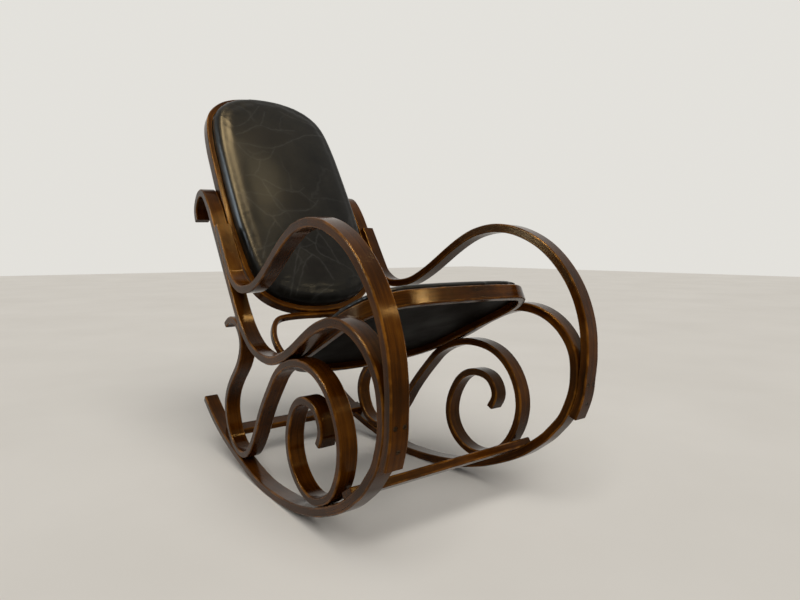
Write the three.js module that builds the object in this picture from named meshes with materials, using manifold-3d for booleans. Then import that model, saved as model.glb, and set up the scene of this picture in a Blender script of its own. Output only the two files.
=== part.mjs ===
// Bentwood rocking chair: two scrolled side frames, two stretchers, a padded seat hoop,
// a padded back hoop and an oval ring that ties the seat to the back.
// Millimetres, +Z up, the sitter faces -Y. The origin lies on the floor under the middle.
import * as THREE from 'three';
import { mergeVertices } from 'three/addons/utils/BufferGeometryUtils.js';
import Module from 'manifold-3d';

const wasm = await Module();
wasm.setup();

const { abs, atan2, ceil, cos, hypot, max, min, sin, tan, PI } = Math;
const rad = THREE.MathUtils.degToRad;

// Side frames: size of the curve field that the strips fill, and their stance
const FRAME_LENGTH = 977;
const FRAME_HEIGHT = 730;
const FLOOR_SPREAD = 470.6;
const TOE_OUT = rad(2.6);
const LEAN_OUT = rad(1.8);

// Bent strips of the side frames
const STRIP_WIDTH = 38;
const ROCKER_THICKNESS = 20;
const ARM_THICKNESS = 20;
const SCROLL_THICKNESS = 17;
const STRIP_EDGE = 2.6;

// Stretchers between the rockers
const STRETCHER_WIDTH = 35;
const STRETCHER_THICKNESS = 18;
const STRETCHER_INSET = 12;
const STRETCHER_HOUSING = 2;

// Seat hoop, panel and pad
const SEAT_FRONT_FORWARD = 437;
const SEAT_FRONT_HEIGHT = 470;
const SEAT_TILT = rad(25.3);
const SEAT_LENGTH = 478;
const SEAT_BAND_HEIGHT = 32;
const SEAT_BAND_THICKNESS = 17;
const SEAT_PANEL_THICKNESS = 6;
const SEAT_PANEL_RECESS = 16;
const SEAT_PAD_INSET = 3;
const SEAT_PAD_SIDE = 11;
const SEAT_PAD_CROWN = 22;

// Back hoop, panel and pad
const BACK_FOOT_BACKWARD = 123;
const BACK_FOOT_HEIGHT = 405;
const BACK_LEAN = rad(31);
const BACK_LENGTH = 722;
const BACK_HALF_WIDTH = 204;
const BACK_RIM_DEPTH = 30;
const POST_SETBACK = 11;
const BACK_RIM_THICKNESS = 16;
const BACK_PANEL_THICKNESS = 5;
const BACK_PANEL_RECESS = 9.5;
const BACK_PAD_INSET = 1.2;
const BACK_PAD_SIDE = 43;
const BACK_PAD_CROWN = 14;
const HOOP_EDGE = 3;

// Oval ring between the seat and the back
const RING_WIDTH = 342;
const RING_DEPTH = 18;
const RING_THICKNESS = 13;
const RING_SEAT_HOUSING = 3;
const RING_BACK_HOUSING = 1.5;

// Countersunk slotted screws
const SCREW_HEAD_RADIUS = 4.4;
const SCREW_HEAD_DEPTH = 3;
const SCREW_SHANK_RADIUS = 2.1;
const SCREW_POINT = 4;
const SCREW_RECESS = 0.6;
const SCREW_SLOT_WIDTH = 1.1;
const SCREW_SLOT_DEPTH = 1;
const SCREW_SIDES = 8;
const STRIP_SCREW_LENGTH = 32;
const STRETCHER_SCREW_LENGTH = 30;
const SEAT_SCREW_LENGTH = 38;
const BACK_SCREW_LENGTH = 34;
const RING_SEAT_SCREW_LENGTH = 28;
const RING_BACK_SCREW_LENGTH = 24;
const SEAT_SCREW_REACH = 46;
const BACK_SCREW_REACH = 13;
const ARM_SCREW_SPREAD = 9;
const ARM_SCREW_PITCH = 33;

// Pads: a filling under a cover that is open underneath. The back's filling is hollow
const COVER_THICKNESS = 2.5;
const BACK_FILLING_WALL = 30;
const BACK_FILLING_ROOF = 28;
const PAD_BULGE_SHARE = 0.45;
const PAD_SHOULDER_SHARE = 0.8;
const PAD_CROWN_POWER = 0.8;
const PAD_RINGS_SHARE = [0.96, 0.87, 0.72, 0.5, 0.24];

// Gap left between touching faces, and how far a cutter runs past the wood
const SEAM = 0.3;
const OVERRUN = 6;

// Smoothness of the bends
const STEP_TURN = rad(15);
const STEP_LENGTH = 60;

const WALNUT = { color: 0x3c1a0c, roughness: 0.28, metalness: 0 };
const LEATHER = { color: 0x0f0e0e, roughness: 0.36, metalness: 0 };
const FILLING = { color: 0xcfc6b2, roughness: 0.95, metalness: 0 };
const DARK_PANEL = { color: 0x15110f, roughness: 0.7, metalness: 0 };
const STEEL = { color: 0x6a5a48, roughness: 0.45, metalness: 0.85 };

// Stations of each strip's centre line: forward share, height share, heading in degrees.
// Forward counts from the stretch where the rocker meets the floor, but for the hook and the
// post from the plane in which they meet the back hoop.
const POST_SHARES = {
  hookEnd: [-0.1337, 0.8850, 112],
  hookSide: [-0.1256, 0.9165, 90],
  hookShoulder: [-0.0792, 0.9685, 42],
  hookTop: [-0.0372, 0.9863, -2],
  hookFall: [-0.0120, 0.9600, -46],
  postTop: [-0.0030, 0.9041, -57],
  armTopSeat: [-0.0012, 0.8459, -57],
  armFootSeat: [0.0037, 0.6862, -57],
};

const ROCKER_SHARES = {
  postFoot: [-0.1535, 0.6027, -57],
  hookSeat: [-0.1146, 0.5322, -48],
  dipStart: [-0.0839, 0.4945, -38.5],
  dipSide: [-0.0200, 0.4515, -14],
  dip: [0.0410, 0.4418, 0],
  archSeat: [0.1330, 0.4685, 21],
  rise: [0.2200, 0.5270, 29.5],
  archSide: [0.3185, 0.5870, 16],
  archTop: [0.3720, 0.6008, 0],
  archFall: [0.4560, 0.5700, -32],
  frontShoulder: [0.5060, 0.4990, -62],
  frontSeatTop: [0.5185, 0.3950, -92],
  frontSeatFoot: [0.5000, 0.3030, -112],
  frontTurn: [0.4600, 0.2290, -129.5],
  frontFoot: [0.4180, 0.1785, -141],
  frontStretcher: [0.3885, 0.1488, -146.5],
  loopSeat: [0.2900, 0.0820, -157],
  rockerFront: [0.2100, 0.0465, -165],
  rockerFore: [0.0700, 0.0168, -175.5],
  floorFore: [0.0276, 0.0137, -178],
  floorAft: [-0.0327, 0.0137, 176.5],
  rockerAft: [-0.0900, 0.0232, 171],
  footSeat: [-0.1790, 0.0480, 168],
  rearStretcher: [-0.2820, 0.0850, 162.5],
  rockerRear: [-0.3600, 0.1260, 155],
  tail: [-0.4400, 0.1890, 148],
};

const ARM_SHARES = [
  [-0.1400, 0.6620, -26],
  [-0.0950, 0.6479, 1],
  [-0.0020, 0.6726, 25],
  [0.0809, 0.7356, 33.5],
  [0.1627, 0.8035, 28],
  [0.2220, 0.8360, 14],
  [0.2830, 0.8466, -1],
  [0.3490, 0.8335, -17],
  [0.4350, 0.7753, -38],
  [0.4995, 0.6808, -57],
  [0.5360, 0.5630, -77],
  [0.5428, 0.4720, -88],
];

const SCROLL_SHARES = {
  hookEnd: [-0.2211, 0.5130, 38],
  hookTop: [-0.1699, 0.5377, 0],
  neck: [-0.1126, 0.4699, -90],
  neckTurn: [-0.1290, 0.4110, -123],
  backSlope: [-0.1996, 0.3190, -136],
  backSide: [-0.2500, 0.2120, -98],
  backTurn: [-0.2350, 0.1280, -62],
  footRise: [-0.0990, 0.1030, 41],
  upSlope: [-0.0215, 0.2342, 56.5],
  upTurn: [0.0737, 0.3850, 47],
  archTop: [0.2200, 0.4670, 0],
  archFall: [0.3030, 0.4425, -29],
  archSide: [0.3654, 0.3438, -70],
  bigRight: [0.3735, 0.2740, -94],
  bigFall: [0.3388, 0.1575, -128],
  loopLow: [0.2350, 0.0940, 176],
  loopTurn: [0.1638, 0.1411, 131],
  innerLeft: [0.1430, 0.2150, 91],
  innerRise: [0.1680, 0.3150, 57],
  innerTop: [0.2390, 0.3680, 0],
  innerFall: [0.2870, 0.3440, -52],
  innerRight: [0.2990, 0.3020, -92],
  scrollEnd: [0.2850, 0.2610, -118],
};

// Half outlines of the hoops, from one middle to the other: share across, share along,
// heading in degrees. The straight sides of seat and back are set by the side frames.
const SEAT_FRONT_SHARES = [
  [0, 0, 0],
  [0.6200, 0.0120, 6],
];
const SEAT_REAR_SHARES = [
  [0.7240, 0.9080, 146],
  [0.2700, 0.9880, 168],
  [0, 1, 180],
];
// The seat's front lies at this share of the height. Below it the frames follow the seat's height
const SEAT_FRONT_HEIGHT_SHARE = 0.6438;
const SEAT_SIDE_START_SHARE = 0.28;
const SEAT_SIDE_END_SHARE = 0.72;
const BACK_FOOT_SHARES = [
  [0, 0, 0],
  [0.5930, 0.0346, 27],
  [0.8000, 0.0800, 50],
  [0.9080, 0.1420, 74],
  [0.9680, 0.2700, 85],
];
const BACK_HEAD_SHARES = [
  [0.9930, 0.6240, 91.5],
  [0.9815, 0.7340, 94],
  [0.9515, 0.8150, 100],
  [0.8430, 0.9017, 125],
  [0.6570, 0.9536, 144],
  [0.3430, 0.9900, 167],
  [0, 1, 180],
];
const BACK_SIDE_START_SHARE = 0.4;
const BACK_SIDE_END_SHARE = 0.49;
const RING_HALF_SHARES = [
  [0, 0, 0],
  [0.6000, 0.0050, 6],
  [0.8200, 0.0700, 40],
  [0.9450, 0.2400, 68],
  [1, 0.5000, 90],
  [0.9450, 0.7600, 112],
  [0.8200, 0.9300, 140],
  [0.6000, 0.9950, 174],
  [0, 1, 180],
];

const halfSpread = FLOOR_SPREAD / 2 - STRIP_WIDTH / 2;

// Bends

function angleBetween(from, to) {
  return atan2(sin(to - from), cos(to - from));
}

function station(length, height, [along, up, degrees], name) {
  return { p: along * length, q: up * height, heading: rad(degrees), name };
}

// Height of a share: up to the seat's front by the seat, and above it by the frames
function heightAt(share) {
  const low = min(share, SEAT_FRONT_HEIGHT_SHARE) / SEAT_FRONT_HEIGHT_SHARE;
  const high = max(0, share - SEAT_FRONT_HEIGHT_SHARE) / (1 - SEAT_FRONT_HEIGHT_SHARE);
  return low * SEAT_FRONT_HEIGHT + high * (FRAME_HEIGHT - SEAT_FRONT_HEIGHT);
}

function frameStation([along, up, degrees], name) {
  return { p: along * FRAME_LENGTH, q: heightAt(up), heading: rad(degrees), name };
}

// Where the plane in which the posts meet the back hoop lies at a height
function backPlaneAt(height) {
  const start = BACK_FOOT_BACKWARD + POST_SETBACK * cos(BACK_LEAN);
  const rise = height - BACK_FOOT_HEIGHT + POST_SETBACK * sin(BACK_LEAN);
  return -start - rise * tan(BACK_LEAN);
}

function postStation(shares, name) {
  const free = frameStation(shares, name);
  return { ...free, p: free.p + backPlaneAt(free.q) };
}

function offset(frame, distance) {
  return {
    ...frame,
    p: frame.p - sin(frame.heading) * distance,
    q: frame.q + cos(frame.heading) * distance,
  };
}

function leg(from, to) {
  const turn = angleBetween(from.heading, to.heading);
  const chord = hypot(to.p - from.p, to.q - from.q);
  const reach = chord / (3 * cos(turn / 4) ** 2);
  const curve = new THREE.CubicBezierCurve(
    new THREE.Vector2(from.p, from.q),
    new THREE.Vector2(from.p + cos(from.heading) * reach, from.q + sin(from.heading) * reach),
    new THREE.Vector2(to.p - cos(to.heading) * reach, to.q - sin(to.heading) * reach),
    new THREE.Vector2(to.p, to.q),
  );
  const steps = max(1, ceil(abs(turn) / STEP_TURN), ceil(chord / STEP_LENGTH));
  return Array.from({ length: steps }, (_, k) => {
    if (k === 0) return from;
    const place = curve.getPoint(k / steps);
    const heading = curve.getTangent(k / steps).angle();
    return { p: place.x, q: place.y, heading };
  });
}

function bend(stations, closed = false) {
  const frames = stations.slice(1).flatMap((to, i) => leg(stations[i], to));
  const last = stations[stations.length - 1];
  return closed ? [...frames, ...leg(last, stations[0])] : [...frames, last];
}

function named(frames, name) {
  return frames.find((frame) => frame.name === name);
}

function stretch(frames, from, to) {
  const start = frames.findIndex((frame) => frame.name === from);
  const end = frames.findIndex((frame) => frame.name === to);
  return frames.slice(start, end + 1);
}

// Swept strips: a chamfered rectangle, thickness across the bend and width out of its plane

function section(thickness, width, edge) {
  const t = thickness / 2;
  const w = width / 2;
  return [
    [t, edge - w], [t, w - edge], [t - edge, w], [edge - t, w],
    [-t, w - edge], [-t, edge - w], [edge - t, -w], [t - edge, -w],
  ];
}

function sweep(frames, thickness, width, edge, closed = false) {
  const full = section(thickness, width, edge);
  const inner = section(thickness - edge, width - edge, edge / 2);
  const ring = (frame, shape, shift = 0) => shape.flatMap(([out, across]) => [
    frame.p + cos(frame.heading) * shift - sin(frame.heading) * out,
    frame.q + sin(frame.heading) * shift + cos(frame.heading) * out,
    across,
  ]);
  const rings = closed
    ? frames.map((frame) => ring(frame, full))
    : [
      ring(frames[0], inner),
      ring(frames[0], full, edge / 2),
      ...frames.slice(1, -1).map((frame) => ring(frame, full)),
      ring(frames[frames.length - 1], full, -edge / 2),
      ring(frames[frames.length - 1], inner),
    ];
  const sides = full.length;
  const index = [];
  const joints = closed ? rings.length : rings.length - 1;
  for (let i = 0; i < joints; i++) {
    const here = i * sides;
    const next = ((i + 1) % rings.length) * sides;
    for (let k = 0; k < sides; k++) {
      const l = (k + 1) % sides;
      index.push(here + k, here + l, next + k, here + l, next + l, next + k);
    }
  }
  if (!closed) {
    const end = (rings.length - 1) * sides;
    for (let k = 1; k < sides - 1; k++) {
      index.push(0, k + 1, k, end, end + k, end + k + 1);
    }
  }
  return meshGeometry(rings.flat(), index);
}

function meshGeometry(positions, index) {
  const geometry = new THREE.BufferGeometry();
  geometry.setAttribute('position', new THREE.Float32BufferAttribute(positions, 3));
  geometry.setIndex(index);
  geometry.computeVertexNormals();
  return geometry;
}

// Solid cuts

function solidOf(geometry) {
  const bare = geometry.clone();
  bare.deleteAttribute('normal');
  bare.deleteAttribute('uv');
  const merged = mergeVertices(bare);
  const corners = merged.index.array;
  const kept = [];
  for (let i = 0; i < corners.length; i += 3) {
    const [a, b, c] = corners.slice(i, i + 3);
    if (a !== b && b !== c && c !== a) kept.push(a, b, c);
  }
  return new wasm.Manifold(new wasm.Mesh({
    numProp: 3,
    vertProperties: new Float32Array(merged.attributes.position.array),
    triVerts: new Uint32Array(kept),
  }));
}

function cut(geometry, cutters) {
  if (cutters.length === 0) return geometry;
  const solid = cutters.reduce((rest, cutter) => rest.subtract(solidOf(cutter)), solidOf(geometry));
  const { vertProperties, triVerts } = solid.getMesh();
  return meshGeometry(Array.from(vertProperties), Array.from(triVerts));
}

// Screws

function screwProfile(length, clearance, rise) {
  const head = SCREW_HEAD_RADIUS + clearance;
  const shank = SCREW_SHANK_RADIUS + clearance;
  return [
    [0, -length - clearance],
    [shank, SCREW_POINT - length],
    [shank, -SCREW_HEAD_DEPTH - SCREW_RECESS - clearance],
    [head, -SCREW_RECESS - clearance],
    [head, rise],
    [0, rise],
  ].map(([radius, height]) => new THREE.Vector2(radius, height));
}

function turned(profile) {
  return new THREE.LatheGeometry(profile, SCREW_SIDES);
}

function screwGeometry({ length, slotted }) {
  const plain = turned(screwProfile(length, 0, SEAM - SCREW_RECESS));
  if (!slotted) return plain;
  const slot = new THREE.BoxGeometry(2 * SCREW_HEAD_RADIUS + OVERRUN, SCREW_SLOT_DEPTH, SCREW_SLOT_WIDTH);
  slot.translate(0, 2 * SEAM - SCREW_RECESS - SCREW_SLOT_DEPTH / 2, 0);
  return cut(plain, [slot]);
}

function screwPose({ head, into }) {
  const turn = new THREE.Quaternion().setFromUnitVectors(new THREE.Vector3(0, -1, 0), into);
  return new THREE.Matrix4().compose(head, turn, new THREE.Vector3(1, 1, 1));
}

function bore(screw, holder) {
  const pose = holder.matrixWorld.clone().invert().multiply(screwPose(screw));
  return turned(screwProfile(screw.length, SEAM, OVERRUN)).applyMatrix4(pose);
}

function piece(holder, name, geometry, look) {
  const mesh = new THREE.Mesh(geometry, new THREE.MeshStandardMaterial(look));
  mesh.name = name;
  holder.add(mesh);
  return mesh;
}

function drilled(geometry, holder, screws, housings = []) {
  return cut(geometry, [...housings, ...screws.map((screw) => bore(screw, holder))]);
}

// Side frames. In a frame's own space X is across the strip and -Y is forward.

const chair = new THREE.Group();

function sideFrame(side) {
  const frame = new THREE.Group();
  frame.position.x = side * halfSpread;
  frame.rotation.order = 'ZYX';
  frame.rotation.z = side * TOE_OUT;
  frame.rotation.y = side * LEAN_OUT;
  chair.add(frame);
  frame.updateMatrixWorld(true);
  return frame;
}

const SIDES = { right: sideFrame(-1), left: sideFrame(1) };
const sideSign = { right: -1, left: 1 };

// Half distance between the inner faces of the side frames at a place
function innerHalf(forward, height) {
  const face = halfSpread - STRIP_WIDTH / 2 / (cos(LEAN_OUT) * cos(TOE_OUT));
  return face + tan(TOE_OUT) * forward + tan(LEAN_OUT) / cos(TOE_OUT) * height;
}

function outerHalf(forward, height) {
  return innerHalf(forward, height) + STRIP_WIDTH;
}

const inSidePlane = new THREE.Matrix4().makeBasis(
  new THREE.Vector3(0, -1, 0),
  new THREE.Vector3(0, 0, 1),
  new THREE.Vector3(-1, 0, 0),
);

const rockerLine = bend([
  ...Object.entries(POST_SHARES).map(([name, shares]) => postStation(shares, name)),
  ...Object.entries(ROCKER_SHARES).map(([name, shares]) => frameStation(shares, name)),
]);
const rockerToArm = ROCKER_THICKNESS / 2 + SEAM + ARM_THICKNESS / 2;
const rockerToScroll = ROCKER_THICKNESS / 2 + SEAM + SCROLL_THICKNESS / 2;

function armLine() {
  const post = stretch(rockerLine, 'armTopSeat', 'armFootSeat').map((f) => offset(f, rockerToArm));
  const front = stretch(rockerLine, 'frontSeatTop', 'frontSeatFoot')
    .map((f) => offset(f, rockerToArm));
  const free = ARM_SHARES.map((shares) => frameStation(shares));
  const between = bend([post[post.length - 1], ...free, front[0]]);
  return [...post.slice(0, -1), ...between, ...front.slice(1)];
}

// The scroll touches the rocker strip at four places, and its line turns there with the rocker's
function scrollSeat(name) {
  const frame = named(rockerLine, name);
  const seat = offset(frame, -rockerToScroll);
  return { ...seat, name };
}

function scrollFootSeat() {
  const frame = named(rockerLine, 'footSeat');
  return { ...offset(frame, -rockerToScroll), heading: frame.heading - PI, name: 'footSeat' };
}

function scrollLine() {
  const at = Object.fromEntries(Object.entries(SCROLL_SHARES)
    .map(([name, shares]) => [name, frameStation(shares, name)]));
  return bend([
    at.hookEnd, at.hookTop, scrollSeat('hookSeat'), at.neck, at.neckTurn, at.backSlope,
    at.backSide, at.backTurn, scrollFootSeat(), at.footRise, at.upSlope, at.upTurn,
    scrollSeat('archSeat'), at.archTop, at.archFall, at.archSide, at.bigRight, at.bigFall,
    scrollSeat('loopSeat'), at.loopLow, at.loopTurn, at.innerLeft, at.innerRise, at.innerTop,
    at.innerFall, at.innerRight, at.scrollEnd,
  ]);
}

function strip(line, thickness) {
  return sweep(line, thickness, STRIP_WIDTH, STRIP_EDGE).applyMatrix4(inSidePlane);
}

// A screw in a side frame: its head on the far side of the outer piece, driven along the normal
function frameScrew(side, frame, headOffset, across, length) {
  const head = offset(frame, headOffset);
  const sign = headOffset > 0 ? 1 : -1;
  const into = new THREE.Vector3(0, -sin(frame.heading) * sign, -cos(frame.heading) * sign);
  return {
    head: new THREE.Vector3(across, -head.p, head.q).applyMatrix4(SIDES[side].matrixWorld),
    into: into.transformDirection(SIDES[side].matrixWorld),
    length,
  };
}

function along(frame, distance) {
  return {
    ...frame,
    p: frame.p + cos(frame.heading) * distance,
    q: frame.q + sin(frame.heading) * distance,
  };
}

const armHead = rockerToArm + ARM_THICKNESS / 2;
const scrollHead = -rockerToScroll - SCROLL_THICKNESS / 2;

function armScrews(side) {
  const post = named(rockerLine, 'armTopSeat');
  const front = named(rockerLine, 'frontSeatTop');
  const low = stretch(rockerLine, 'frontSeatTop', 'frontSeatFoot')[1];
  const pair = (across) => frameScrew(side, front, armHead, across, STRIP_SCREW_LENGTH);
  const lower = frameScrew(side, low, armHead, 0, STRIP_SCREW_LENGTH);
  const behind = (place) => frameScrew(side, place, -ROCKER_THICKNESS / 2, 0, STRIP_SCREW_LENGTH);
  return {
    arm_post_screw_upper: behind(along(post, ARM_SCREW_PITCH)),
    arm_post_screw_lower: behind(along(post, 3 * ARM_SCREW_PITCH)),
    arm_front_screw_outer: { ...pair(ARM_SCREW_SPREAD), slotted: true },
    arm_front_screw_inner: { ...pair(-ARM_SCREW_SPREAD), slotted: true },
    arm_front_screw_lower: { ...lower, slotted: true },
  };
}

function scrollScrews(side) {
  const screw = (name) => frameScrew(side, named(rockerLine, name), scrollHead, 0, STRIP_SCREW_LENGTH);
  return {
    scroll_hook_screw: screw('hookSeat'),
    scroll_arch_screw: screw('archSeat'),
    scroll_foot_screw: screw('footSeat'),
    scroll_loop_screw: screw('loopSeat'),
  };
}

// Stretchers lie on the rockers, each in a shallow housing

const STRETCHERS = { front: 'frontStretcher', rear: 'rearStretcher' };

function stretcherPlace(name) {
  const seat = named(rockerLine, STRETCHERS[name]);
  const rise = ROCKER_THICKNESS / 2 + STRETCHER_THICKNESS / 2 - STRETCHER_HOUSING;
  return { seat, centre: offset(seat, -rise) };
}

function stretcherScrews(side) {
  const screw = (name) => frameScrew(
    side, stretcherPlace(name).seat,
    STRETCHER_HOUSING - ROCKER_THICKNESS / 2 - STRETCHER_THICKNESS, 0, STRETCHER_SCREW_LENGTH,
  );
  return { front_stretcher_screw: screw('front'), rear_stretcher_screw: screw('rear') };
}

function stretcher(name, rockerGrown, screws) {
  const { centre } = stretcherPlace(name);
  const span = 2 * (outerHalf(centre.p, centre.q) - STRETCHER_INSET);
  const half = { p: -span / 2, q: 0, heading: 0 };
  const bar = sweep([half, { ...half, p: 0 }, { ...half, p: span / 2 }],
    STRETCHER_THICKNESS, STRETCHER_WIDTH, STRIP_EDGE);
  bar.rotateX(PI / 2);
  bar.rotateX(-angleBetween(0, centre.heading - PI));
  bar.translate(0, -centre.p, centre.q);
  piece(chair, `stretcher_${name}`, drilled(bar, chair, screws, rockerGrown), WALNUT);
}

// Hoops

function mirrored(half) {
  const back = half.slice(1, -1).reverse()
    .map(({ p, q, heading }) => ({ p: -p, q, heading: 2 * PI - heading }));
  return [...half, ...back];
}

function hoopLine(half, thickness) {
  return bend(mirrored(half), true).map((frame) => offset(frame, thickness / 2));
}

function hoop(line, thickness, depth, growth = 0) {
  return sweep(line, thickness + 2 * growth, depth + 2 * growth, HOOP_EDGE, true);
}

function insideOf(line, distance) {
  return line.map((frame) => offset(frame, distance))
    .map(({ p, q }) => new THREE.Vector2(p, q));
}

function sheet(outline, thickness, level) {
  const geometry = new THREE.ExtrudeGeometry(new THREE.Shape(outline), {
    depth: thickness,
    bevelEnabled: false,
  });
  return geometry.translate(0, 0, level);
}

// A pad: flat underneath, sides drawn in at the foot, a rounded shoulder and a crowned top
function pad({ outline, level, side, crown, drawIn }) {
  const middle = outline.reduce((sum, point) => sum.add(point), new THREE.Vector2())
    .divideScalar(outline.length);
  const reach = min(...outline.map((point) => point.distanceTo(middle)));
  const levels = [
    [1 - drawIn / reach, 0],
    [1, side * PAD_BULGE_SHARE],
    [1 - drawIn / 2 / reach, side * PAD_SHOULDER_SHARE],
    ...PAD_RINGS_SHARE.map((share) => [share, side + crown * (1 - share ** 2) ** PAD_CROWN_POWER]),
  ];
  const positions = levels.flatMap(([share, height]) => outline.flatMap((point) => [
    middle.x + (point.x - middle.x) * share,
    middle.y + (point.y - middle.y) * share,
    level + height,
  ]));
  positions.push(middle.x, middle.y, level, middle.x, middle.y, level + side + crown);
  const count = outline.length;
  const foot = levels.length * count;
  const top = (levels.length - 1) * count;
  const index = [];
  for (let k = 0; k < count; k++) {
    const l = (k + 1) % count;
    index.push(foot, l, k, foot + 1, top + k, top + l);
    for (let i = 0; i < top; i += count) {
      index.push(i + k, i + l, i + count + k, i + l, i + count + l, i + count + k);
    }
  }
  return meshGeometry(positions, index);
}

// The same pad, smaller by a distance all round and on top
function shrunk(form, line, distance) {
  return { ...form, outline: insideOf(line, form.inset + distance), side: form.side - distance };
}

function cushion(holder, name, line, form, cores = []) {
  const outer = shrunk(form, line, 0);
  const hollow = shrunk(form, line, COVER_THICKNESS);
  const filling = shrunk(form, line, COVER_THICKNESS + SEAM);
  const mouth = insideOf(line, form.inset + form.drawIn + COVER_THICKNESS);
  piece(holder, `${name}_cover`, cut(pad(outer), [
    pad(hollow), sheet(mouth, 2 * OVERRUN, form.level - OVERRUN),
  ]), LEATHER);
  piece(holder, `${name}_filling`, cut(pad(filling), cores), FILLING);
}

// Seat: X across, Y from the front towards the rear, Z out of the sitting face

const seat = new THREE.Group();
seat.position.set(0, -SEAT_FRONT_FORWARD, SEAT_FRONT_HEIGHT);
seat.rotation.x = -SEAT_TILT;
chair.add(seat);
seat.updateMatrixWorld(true);

function seatSide(share) {
  const back = share * SEAT_LENGTH;
  const forward = SEAT_FRONT_FORWARD - back * cos(SEAT_TILT);
  const height = SEAT_FRONT_HEIGHT - back * sin(SEAT_TILT);
  return { p: innerHalf(forward, height) - SEAM, q: back };
}

function seatLine() {
  const start = seatSide(SEAT_SIDE_START_SHARE);
  const end = seatSide(SEAT_SIDE_END_SHARE);
  const heading = atan2(end.q - start.q, end.p - start.p);
  const outline = (shares) => station(start.p, SEAT_LENGTH, shares);
  return hoopLine([
    ...SEAT_FRONT_SHARES.map(outline),
    { ...start, heading },
    { ...end, heading },
    ...SEAT_REAR_SHARES.map(outline),
  ], SEAT_BAND_THICKNESS);
}

// A place on the middle line of a side frame's rocker strip, as a hoop's own group has it
function inHoop(holder, side, frame) {
  return new THREE.Vector3(0, -frame.p, frame.q).applyMatrix4(SIDES[side].matrixWorld)
    .applyMatrix4(holder.matrixWorld.clone().invert());
}

// A screw from inside the band into the arch, at a height between the middles of the two
function seatScrew(side, distance) {
  const place = inHoop(seat, side, along(named(rockerLine, 'rise'), distance));
  const inner = seatSide(place.y / SEAT_LENGTH).p - SEAT_BAND_THICKNESS;
  const level = (place.z + SEAT_BAND_HEIGHT / 2) / 2;
  const head = new THREE.Vector3(sideSign[side] * inner, place.y, level);
  return {
    head: head.applyMatrix4(seat.matrixWorld),
    into: new THREE.Vector3(sideSign[side], 0, 0),
    length: SEAT_SCREW_LENGTH,
  };
}

function seatScrews(side) {
  return {
    seat_front_screw: seatScrew(side, SEAT_SCREW_REACH),
    seat_rear_screw: seatScrew(side, -SEAT_SCREW_REACH),
  };
}

// Back: X across, Y up the back, Z out of the face that the sitter leans on

const back = new THREE.Group();
back.position.set(0, BACK_FOOT_BACKWARD, BACK_FOOT_HEIGHT);
back.rotation.x = PI / 2 - BACK_LEAN;
chair.add(back);
back.updateMatrixWorld(true);

function backSide(share) {
  const rise = share * BACK_LENGTH;
  const forward = -BACK_FOOT_BACKWARD - rise * sin(BACK_LEAN) - BACK_RIM_DEPTH * cos(BACK_LEAN);
  const height = BACK_FOOT_HEIGHT + rise * cos(BACK_LEAN) - BACK_RIM_DEPTH * sin(BACK_LEAN);
  return { p: innerHalf(forward, height) - SEAM, q: rise };
}

function backLine() {
  const outline = (shares) => station(BACK_HALF_WIDTH, BACK_LENGTH, shares);
  const start = backSide(BACK_SIDE_START_SHARE);
  const end = backSide(BACK_SIDE_END_SHARE);
  const heading = atan2(end.q - start.q, end.p - start.p);
  return hoopLine([
    ...BACK_FOOT_SHARES.map(outline),
    { ...start, heading },
    { ...end, heading },
    ...BACK_HEAD_SHARES.map(outline),
  ], BACK_RIM_THICKNESS);
}

function backScrews(side) {
  const place = inHoop(back, side, along(named(rockerLine, 'postTop'), -BACK_SCREW_REACH));
  const inner = backSide(place.y / BACK_LENGTH).p - BACK_RIM_THICKNESS;
  const head = new THREE.Vector3(sideSign[side] * inner, place.y, -POST_SETBACK);
  return {
    back_screw: {
      head: head.applyMatrix4(back.matrixWorld),
      into: new THREE.Vector3(sideSign[side], 0, 0),
      length: BACK_SCREW_LENGTH,
    },
  };
}

// Ring: X across, Y from the seat up to the back, Z towards the sitter

const seatRear = new THREE.Vector3(
  0, SEAT_LENGTH + RING_DEPTH / 2 - RING_SEAT_HOUSING, SEAT_BAND_HEIGHT / 2,
).applyMatrix4(seat.matrixWorld);
const backFoot = new THREE.Vector3(
  0, RING_BACK_HOUSING - RING_THICKNESS / 2, -BACK_RIM_DEPTH / 2,
).applyMatrix4(back.matrixWorld);

const ring = new THREE.Group();
ring.position.copy(seatRear);
ring.rotation.x = atan2(backFoot.z - seatRear.z, backFoot.y - seatRear.y);
chair.add(ring);
ring.updateMatrixWorld(true);

function ringLine() {
  const height = seatRear.distanceTo(backFoot) + RING_THICKNESS;
  const half = RING_HALF_SHARES.map((shares) => station(RING_WIDTH / 2, height, shares));
  const lowered = half.map((frame) => ({ ...frame, q: frame.q - RING_THICKNESS / 2 }));
  return hoopLine(lowered, RING_THICKNESS);
}

function ringScrews() {
  const forward = new THREE.Vector3(0, 0, 1).transformDirection(ring.matrixWorld);
  const up = new THREE.Vector3(0, 1, 0).transformDirection(back.matrixWorld);
  const ringBack = new THREE.Vector3(0, 0, -RING_DEPTH / 2).applyMatrix4(ring.matrixWorld);
  const ringTop = backFoot.clone().addScaledVector(up, -RING_THICKNESS / 2);
  return {
    ring_seat_screw: { head: ringBack, into: forward, length: RING_SEAT_SCREW_LENGTH },
    ring_back_screw: { head: ringTop, into: up, length: RING_BACK_SCREW_LENGTH },
  };
}

// Assembly

function screwsOf(list) {
  return Object.values(list);
}

function addScrews(screws, suffix = '') {
  for (const [name, screw] of Object.entries(screws)) {
    const mesh = piece(chair, `${name}${suffix}`, screwGeometry(screw), STEEL);
    mesh.applyMatrix4(screwPose(screw));
  }
}

const ringScrewSet = ringScrews();
const rockersGrown = [];
const stretcherScrewSet = [];
const seatScrewSet = [];
const backScrewSet = [];

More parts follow.
